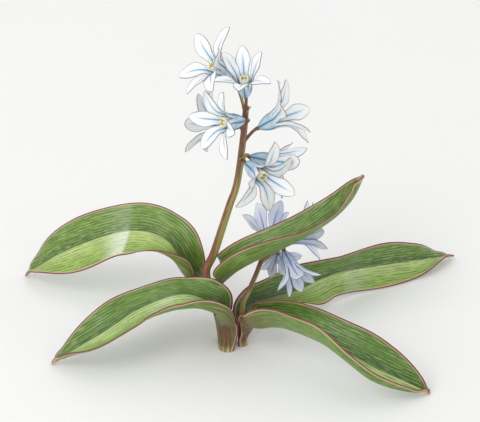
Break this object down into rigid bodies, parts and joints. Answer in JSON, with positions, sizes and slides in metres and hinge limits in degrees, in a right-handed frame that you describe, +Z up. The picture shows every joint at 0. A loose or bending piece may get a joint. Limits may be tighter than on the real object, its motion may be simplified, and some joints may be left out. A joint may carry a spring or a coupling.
{
  "type": "striped squill",
  "caption": "Flowering striped squill cut at its necks: arching strap leaves round a tall stem of white blooms with blue midlines and a short stem of lilac blooms.",
  "frame": {"origin": "middle of the floor that the plant covers, on the plane that its cut ends stand on", "axes": "+Z up, +X to the right across the spread of the leaves, +Y away from the side that the blooms mostly face"},
  "size_m": [0.1848, 0.1094, 0.1267],
  "materials": {
    "leaf": "satin living leaf",
    "stem": "matte living stem",
    "white_petal": "matte living petal",
    "lilac_petal": "matte living petal",
    "crown": "matte living petal"
  },
  "bodies": {
    "root": {"leaf_left_front": "leaf", "leaf_left_back": "leaf", "leaf_right_up": "leaf", "leaf_right_back": "leaf", "leaf_right_front": "leaf", "stem_tall": "stem", "stem_short": "stem", "bloom_a": "white_petal", "crown_a": "crown", "bloom_b": "white_petal", "crown_b": "crown", "bloom_c": "white_petal", "crown_c": "crown", "bloom_d": "white_petal", "crown_d": "crown", "bloom_e": "white_petal", "crown_e": "crown", "bloom_f": "white_petal", "crown_f": "crown", "bloom_g": "white_petal", "crown_g": "crown", "bloom_h": "lilac_petal", "crown_h": "crown", "bloom_i": "lilac_petal", "crown_i": "crown", "bloom_j": "lilac_petal", "crown_j": "crown", "bloom_k": "lilac_petal", "crown_k": "crown"}
  },
  "joints": []
}
